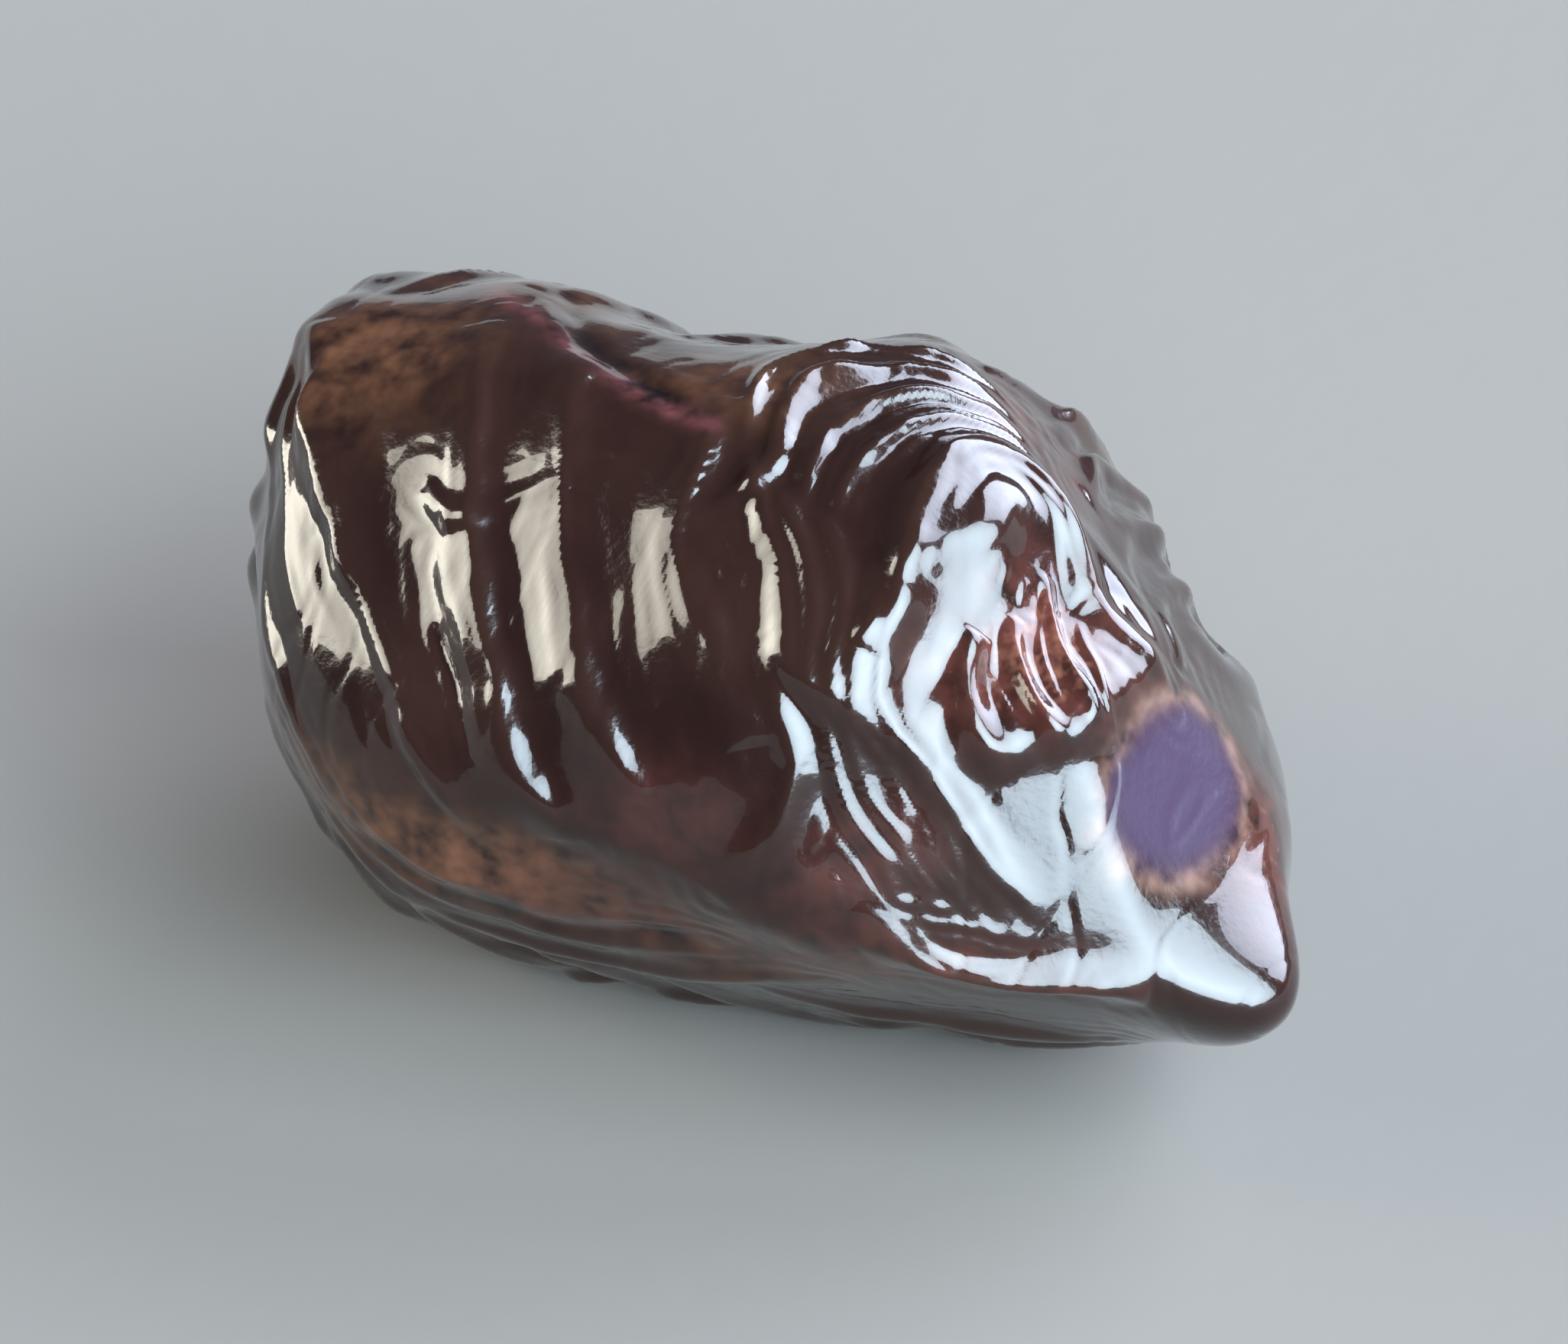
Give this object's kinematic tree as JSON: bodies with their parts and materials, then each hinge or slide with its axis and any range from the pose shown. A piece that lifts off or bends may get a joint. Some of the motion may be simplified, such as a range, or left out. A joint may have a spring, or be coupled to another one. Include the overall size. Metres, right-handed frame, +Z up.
{
  "type": "black olive",
  "caption": "Cured black olive lying on its side, with a wrinkled oily skin, a sunken stalk scar at one end, a blunt tip at the other and a small flat spot where it rests.",
  "frame": {"origin": "centre of the bounding box in plan, at the height of the flat spot that the olive rests on", "axes": "+X from the stalk end towards the tip, +Z up, and the best face looks towards -Y and up"},
  "size_m": [0.027, 0.0166, 0.0159],
  "materials": {
    "olive_skin": "wet, glossy, near-black skin with a red-brown cast"
  },
  "bodies": {
    "root": {"olive": "olive_skin"}
  },
  "joints": []
}
